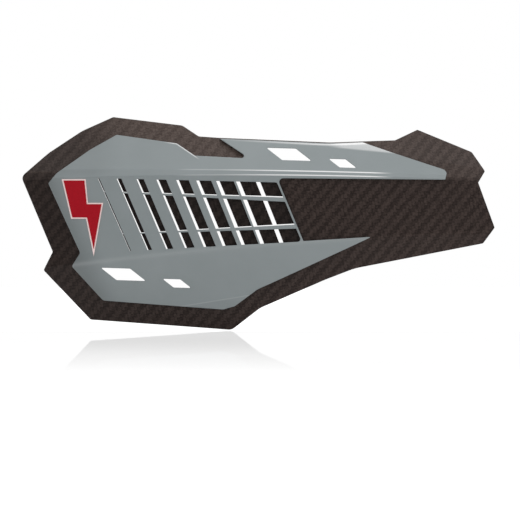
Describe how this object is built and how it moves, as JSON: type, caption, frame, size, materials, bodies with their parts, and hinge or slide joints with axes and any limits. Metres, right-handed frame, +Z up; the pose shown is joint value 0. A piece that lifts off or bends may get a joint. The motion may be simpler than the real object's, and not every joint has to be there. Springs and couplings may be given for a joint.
{
  "type": "motorcycle hand guard shield",
  "caption": "Wrap-round hand guard shield: a dark textured shell under a raised grey cover, with a graded slanted vent grille, see-through windows and threaded bosses behind.",
  "frame": {"origin": "middle of the line between the two threaded inserts, on the plane of the boss faces behind the shield", "axes": "+X along the long side, towards the end with no cover on its band; +Y from the front face towards the hand, along the bolts; +Z up as the guard hangs on a level handlebar"},
  "size_m": [0.2697, 0.0499, 0.1214],
  "materials": {
    "shell_plastic": "satin dark brown-black with a fine woven pattern",
    "cover_plastic": "smooth grey semi-gloss",
    "film_pale": "pale printed film",
    "film_red": "red printed film",
    "insert_brass": "turned"
  },
  "bodies": {
    "root": {"base_shell": "shell_plastic", "cover_shell": "cover_plastic", "badge_backing": "film_pale", "badge_field": "film_red", "insert_inner": "insert_brass", "insert_outer": "insert_brass"}
  },
  "joints": []
}
